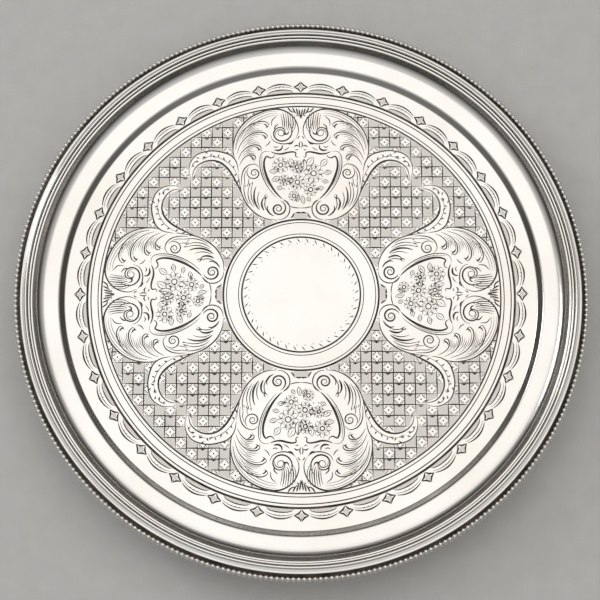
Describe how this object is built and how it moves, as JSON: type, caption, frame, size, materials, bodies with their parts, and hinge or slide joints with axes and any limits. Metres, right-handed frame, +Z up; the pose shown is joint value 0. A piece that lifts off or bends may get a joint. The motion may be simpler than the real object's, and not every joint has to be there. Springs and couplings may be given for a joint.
{
  "type": "serving salver",
  "caption": "Round silver salver with a beaded and reeded rim, an engraved flat and cast scroll feet, for serving glasses and cards.",
  "frame": {"origin": "on the salver's axis, at the soles of the feet, where it stands on a table", "axes": "+Z up along the salver's axis; -Y towards the front foot and the viewer; +X to the viewer's right"},
  "size_m": [0.3048, 0.3048, 0.0344],
  "materials": {
    "polished_silver": "hand-polished silver with fine scratches; the flat is flat-chased and engraved, with tarnish left in the cuts",
    "drawn_silver": "polished silver wire, dark with tarnish in the grooves and between the beads",
    "cast_silver": "cast silver, polished on the high places and darker in the hollows"
  },
  "bodies": {
    "root": {"salver_plate": "polished_silver", "reeded_moulding": "drawn_silver", "bead_border": "drawn_silver", "foot_1": "cast_silver", "foot_2": "cast_silver", "foot_3": "cast_silver"}
  },
  "joints": []
}
